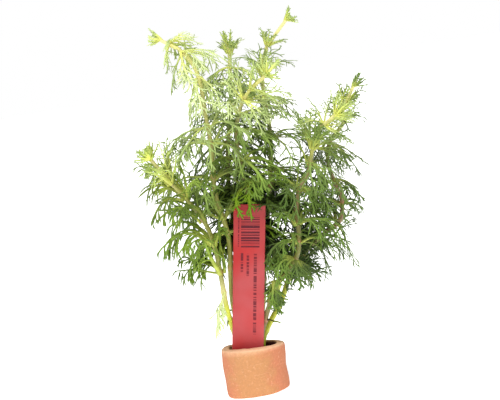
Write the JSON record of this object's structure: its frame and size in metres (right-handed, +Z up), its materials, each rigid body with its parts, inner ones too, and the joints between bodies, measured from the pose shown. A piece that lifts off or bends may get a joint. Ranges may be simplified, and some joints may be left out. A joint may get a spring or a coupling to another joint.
{
  "type": "ambulia bunch in a clay ring",
  "caption": "Bunch of a feathery-leaved water plant, its bare lower stems standing in a short clay ring with a plain plastic plant label.",
  "frame": {"origin": "on the floor, below the middle of the whole plant's box; the clay ring stands left of it and a little behind it", "axes": "+Z up from the ring's flat base to the highest tip; -Y towards the side that the label's front faces; +X to the right as seen from there"},
  "size_m": [0.112, 0.0798, 0.1752],
  "materials": {
    "fired_clay": "unglazed, rough and chalky",
    "red_plastic": "satin",
    "stem_green": "plant stem, moist and slightly glossy",
    "leaf_green": "plant leaf, soft and slightly glossy",
    "young_leaf_green": "young plant leaf, soft and slightly glossy"
  },
  "bodies": {
    "root": {"clay_ring": "fired_clay", "plant_label": "red_plastic", "stem_left_tall": "stem_green", "stem_left_low": "stem_green", "stem_middle_left": "stem_green", "stem_middle": "stem_green", "stem_top": "stem_green", "stem_right_low": "stem_green", "stem_right_high": "stem_green", "whorl_left_tall_1": "leaf_green", "whorl_left_tall_2": "leaf_green", "whorl_left_tall_3": "leaf_green", "whorl_left_tall_4": "leaf_green", "whorl_left_tall_5": "leaf_green", "whorl_left_tall_6": "leaf_green", "whorl_left_tall_7": "leaf_green", "crown_left_tall": "young_leaf_green", "whorl_left_low_1": "leaf_green", "whorl_left_low_2": "leaf_green", "whorl_left_low_3": "leaf_green", "whorl_left_low_4": "leaf_green", "whorl_left_low_5": "leaf_green", "crown_left_low": "young_leaf_green", "whorl_middle_left_1": "leaf_green", "whorl_middle_left_2": "leaf_green", "whorl_middle_left_3": "leaf_green", "whorl_middle_left_4": "leaf_green", "whorl_middle_left_5": "leaf_green", "crown_middle_left": "young_leaf_green", "whorl_middle_1": "leaf_green", "whorl_middle_2": "leaf_green", "whorl_middle_3": "leaf_green", "whorl_middle_4": "leaf_green", "whorl_middle_5": "leaf_green", "whorl_middle_6": "leaf_green", "crown_middle": "young_leaf_green", "whorl_top_1": "leaf_green", "whorl_top_2": "leaf_green", "whorl_top_3": "leaf_green", "whorl_top_4": "leaf_green", "whorl_top_5": "leaf_green", "whorl_top_6": "leaf_green", "whorl_top_7": "leaf_green", "crown_top": "young_leaf_green", "whorl_right_low_1": "leaf_green", "whorl_right_low_2": "leaf_green", "whorl_right_low_3": "leaf_green", "whorl_right_low_4": "leaf_green", "whorl_right_low_5": "leaf_green", "whorl_right_low_6": "leaf_green", "whorl_right_low_7": "leaf_green", "crown_right_low": "young_leaf_green", "whorl_right_high_1": "leaf_green", "whorl_right_high_2": "leaf_green", "whorl_right_high_3": "leaf_green", "whorl_right_high_4": "leaf_green", "whorl_right_high_5": "leaf_green", "whorl_right_high_6": "leaf_green", "whorl_right_high_7": "leaf_green", "crown_right_high": "young_leaf_green"}
  },
  "joints": []
}
